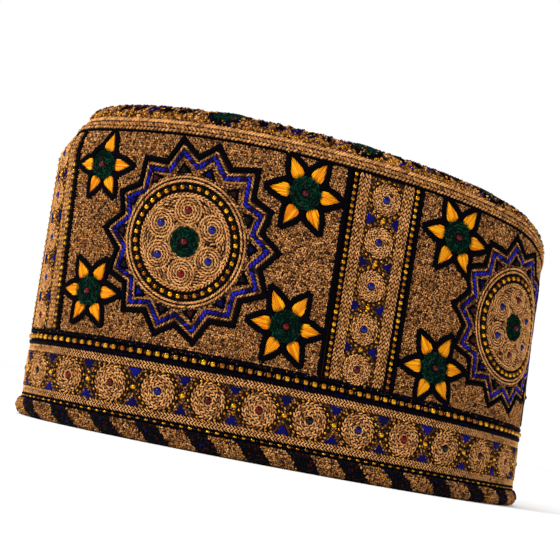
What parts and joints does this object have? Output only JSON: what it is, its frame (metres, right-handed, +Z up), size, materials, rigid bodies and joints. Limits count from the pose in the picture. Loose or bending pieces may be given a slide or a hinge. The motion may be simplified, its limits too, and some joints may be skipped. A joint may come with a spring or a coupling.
{
  "type": "balochi cap",
  "caption": "Soft oval embroidered cap with an upright patterned wall, padded hem, low domed crown and open head hollow.",
  "frame": {"origin": "on the floor under the middle of the cap's bounding box, at the hem's underside", "axes": "+Z up through the crown, +X along the cap's long side, to the right as seen from the front, -Y towards the front strip"},
  "size_m": [0.2376, 0.1434, 0.1375],
  "materials": {
    "tan_ground": "dense knotted cotton stitch, matt",
    "tan_stitch": "chain stitch over cotton, matt",
    "tan_braid": "plaited cotton braid, soft sheen",
    "tan_cord": "laid cotton cord, soft sheen",
    "bead_ground": "black thread ground set with gold seed beads",
    "hem_navy": "padded navy-black cotton hem with tan leaves",
    "star_blue": "satin stitch star in blue, tan and black",
    "petal_yellow": "satin stitch petals in yellow silk"
  },
  "bodies": {
    "root": {"side_wall": "tan_ground", "crown": "tan_stitch", "hem_roll": "hem_navy", "bead_row_lower": "bead_ground", "braid_lower": "tan_braid", "rosette_band": "tan_stitch", "braid_upper": "tan_braid", "bead_row_upper": "bead_ground", "crown_cord_lower": "tan_cord", "crown_cord_upper": "tan_cord", "strip_1": "tan_braid", "strip_2": "tan_braid", "strip_3": "tan_braid", "strip_4": "tan_braid", "star_medallion_1": "star_blue", "star_medallion_2": "star_blue", "star_medallion_3": "star_blue", "star_medallion_4": "star_blue", "flower_01": "petal_yellow", "flower_02": "petal_yellow", "flower_03": "petal_yellow", "flower_04": "petal_yellow", "flower_05": "petal_yellow", "flower_06": "petal_yellow", "flower_07": "petal_yellow", "flower_08": "petal_yellow", "flower_09": "petal_yellow", "flower_10": "petal_yellow", "flower_11": "petal_yellow", "flower_12": "petal_yellow", "flower_13": "petal_yellow", "flower_14": "petal_yellow", "flower_15": "petal_yellow", "flower_16": "petal_yellow"}
  },
  "joints": []
}
